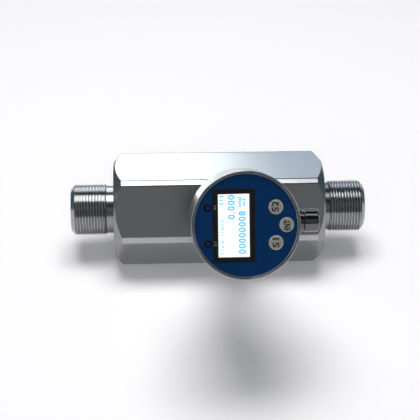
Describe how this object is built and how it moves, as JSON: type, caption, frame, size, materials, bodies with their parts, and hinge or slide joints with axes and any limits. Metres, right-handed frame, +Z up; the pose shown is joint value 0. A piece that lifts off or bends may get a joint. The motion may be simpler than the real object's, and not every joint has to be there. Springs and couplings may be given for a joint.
{
  "type": "turbine flow meter",
  "caption": "Threaded hexagonal flow meter body with a turbine inside and a round display head on a swivel stem, tilted towards the reader.",
  "frame": {"origin": "middle of the bar's bottom flat, under the middle of the hexagonal bar", "axes": "+X along the bar in the flow direction, from inlet to outlet, +Z up, -Y towards the reader"},
  "size_m": [0.2064, 0.1987, 0.1455],
  "materials": {
    "body_steel": "fine satin machined stainless steel",
    "turned_steel": "turned stainless steel",
    "blade_steel": "magnetic stainless steel, polished",
    "spring_steel": "bright spring steel",
    "housing_metal": "satin anodised",
    "bezel_metal": "bright turned edge",
    "connector_metal": "nickel plated",
    "pin_metal": "gold flashed",
    "bearing_bronze": "plain bearing metal",
    "winding_copper": "enamelled wire",
    "magnet": "sintered magnet",
    "face_blue": "dark blue overlay",
    "carrier_plastic": "moulded",
    "frame_black": "black display frame",
    "display_white": "lit display",
    "window_glass": "clear",
    "key_plastic": "warm grey key cap",
    "lamp_plastic": "lamp lens",
    "lamp_rim": "dark lamp ring",
    "board_green": "circuit board",
    "black_plastic": "moulded",
    "resin": "potting resin",
    "seal_rubber": "nitrile",
    "lead_rubber": "cable sheath"
  },
  "bodies": {
    "root": {"meter_body": "body_steel", "inlet_straightener": "turned_steel", "outlet_support": "turned_steel", "inlet_retaining_ring": "spring_steel", "outlet_retaining_ring": "spring_steel", "front_bearing_bush": "bearing_bronze", "rear_bearing_bush": "bearing_bronze", "front_thrust_pad": "turned_steel", "rear_thrust_pad": "turned_steel", "display_stem": "turned_steel", "stem_seal": "seal_rubber", "swivel_seal": "seal_rubber", "swivel_clip": "spring_steel", "pickup_shell": "turned_steel", "pole_piece": "turned_steel", "coil_bobbin": "black_plastic", "pickup_coil": "winding_copper", "pickup_magnet": "magnet", "pickup_potting": "resin", "pickup_lock_ring": "turned_steel", "pickup_lead": "lead_rubber"},
    "rotor": {"turbine_rotor": "blade_steel", "rotor_shaft": "blade_steel"},
    "head": {"head_housing": "housing_metal", "swivel_set_screw": "spring_steel", "bezel_ring": "bezel_metal", "face_gasket": "seal_rubber", "face_plate": "face_blue", "face_carrier": "carrier_plastic", "display_frame": "frame_black", "display_window": "window_glass", "display_panel": "display_white", "contact_strips": "black_plastic", "lamp_ring_upper": "lamp_rim", "lamp_ring_lower": "lamp_rim", "lamp_lens_upper": "lamp_plastic", "lamp_lens_lower": "lamp_plastic", "key_switch_upper": "black_plastic", "key_switch_enter": "black_plastic", "key_switch_lower": "black_plastic", "display_board": "board_green", "main_board": "board_green", "rear_posts": "bearing_bronze", "board_posts": "bearing_bronze", "board_screws": "spring_steel", "lead_socket": "black_plastic", "connector_gasket": "seal_rubber", "connector_shell": "connector_metal", "connector_nut": "connector_metal", "connector_insert": "black_plastic", "connector_pins": "pin_metal", "connector_lead": "lead_rubber"},
    "key_upper": {"key_upper": "key_plastic"},
    "key_enter": {"key_enter": "key_plastic"},
    "key_lower": {"key_lower": "key_plastic"}
  },
  "joints": [
    {"name": "rotor_spin", "type": "hinge", "parent": "root", "child": "rotor", "pos_m": [0.0078, 0, 0.035], "axis": [1, 0, 0], "continuous": true},
    {"name": "head_swivel", "type": "hinge", "parent": "root", "child": "head", "pos_m": [0.0078, -0.07967, 0.081], "axis": [0, -0.866, 0.5], "range_deg": [-165, 165]},
    {"name": "key_upper_press", "type": "slide", "parent": "head", "child": "key_upper", "axis": [0, 0.866, -0.5], "range_m": [0, 0.00035], "stiffness_N_per_m": 2000, "springref_m": -0.0003},
    {"name": "key_enter_press", "type": "slide", "parent": "head", "child": "key_enter", "axis": [0, 0.866, -0.5], "range_m": [0, 0.00035], "stiffness_N_per_m": 2000, "springref_m": -0.0003},
    {"name": "key_lower_press", "type": "slide", "parent": "head", "child": "key_lower", "axis": [0, 0.866, -0.5], "range_m": [0, 0.00035], "stiffness_N_per_m": 2000, "springref_m": -0.0003}
  ]
}
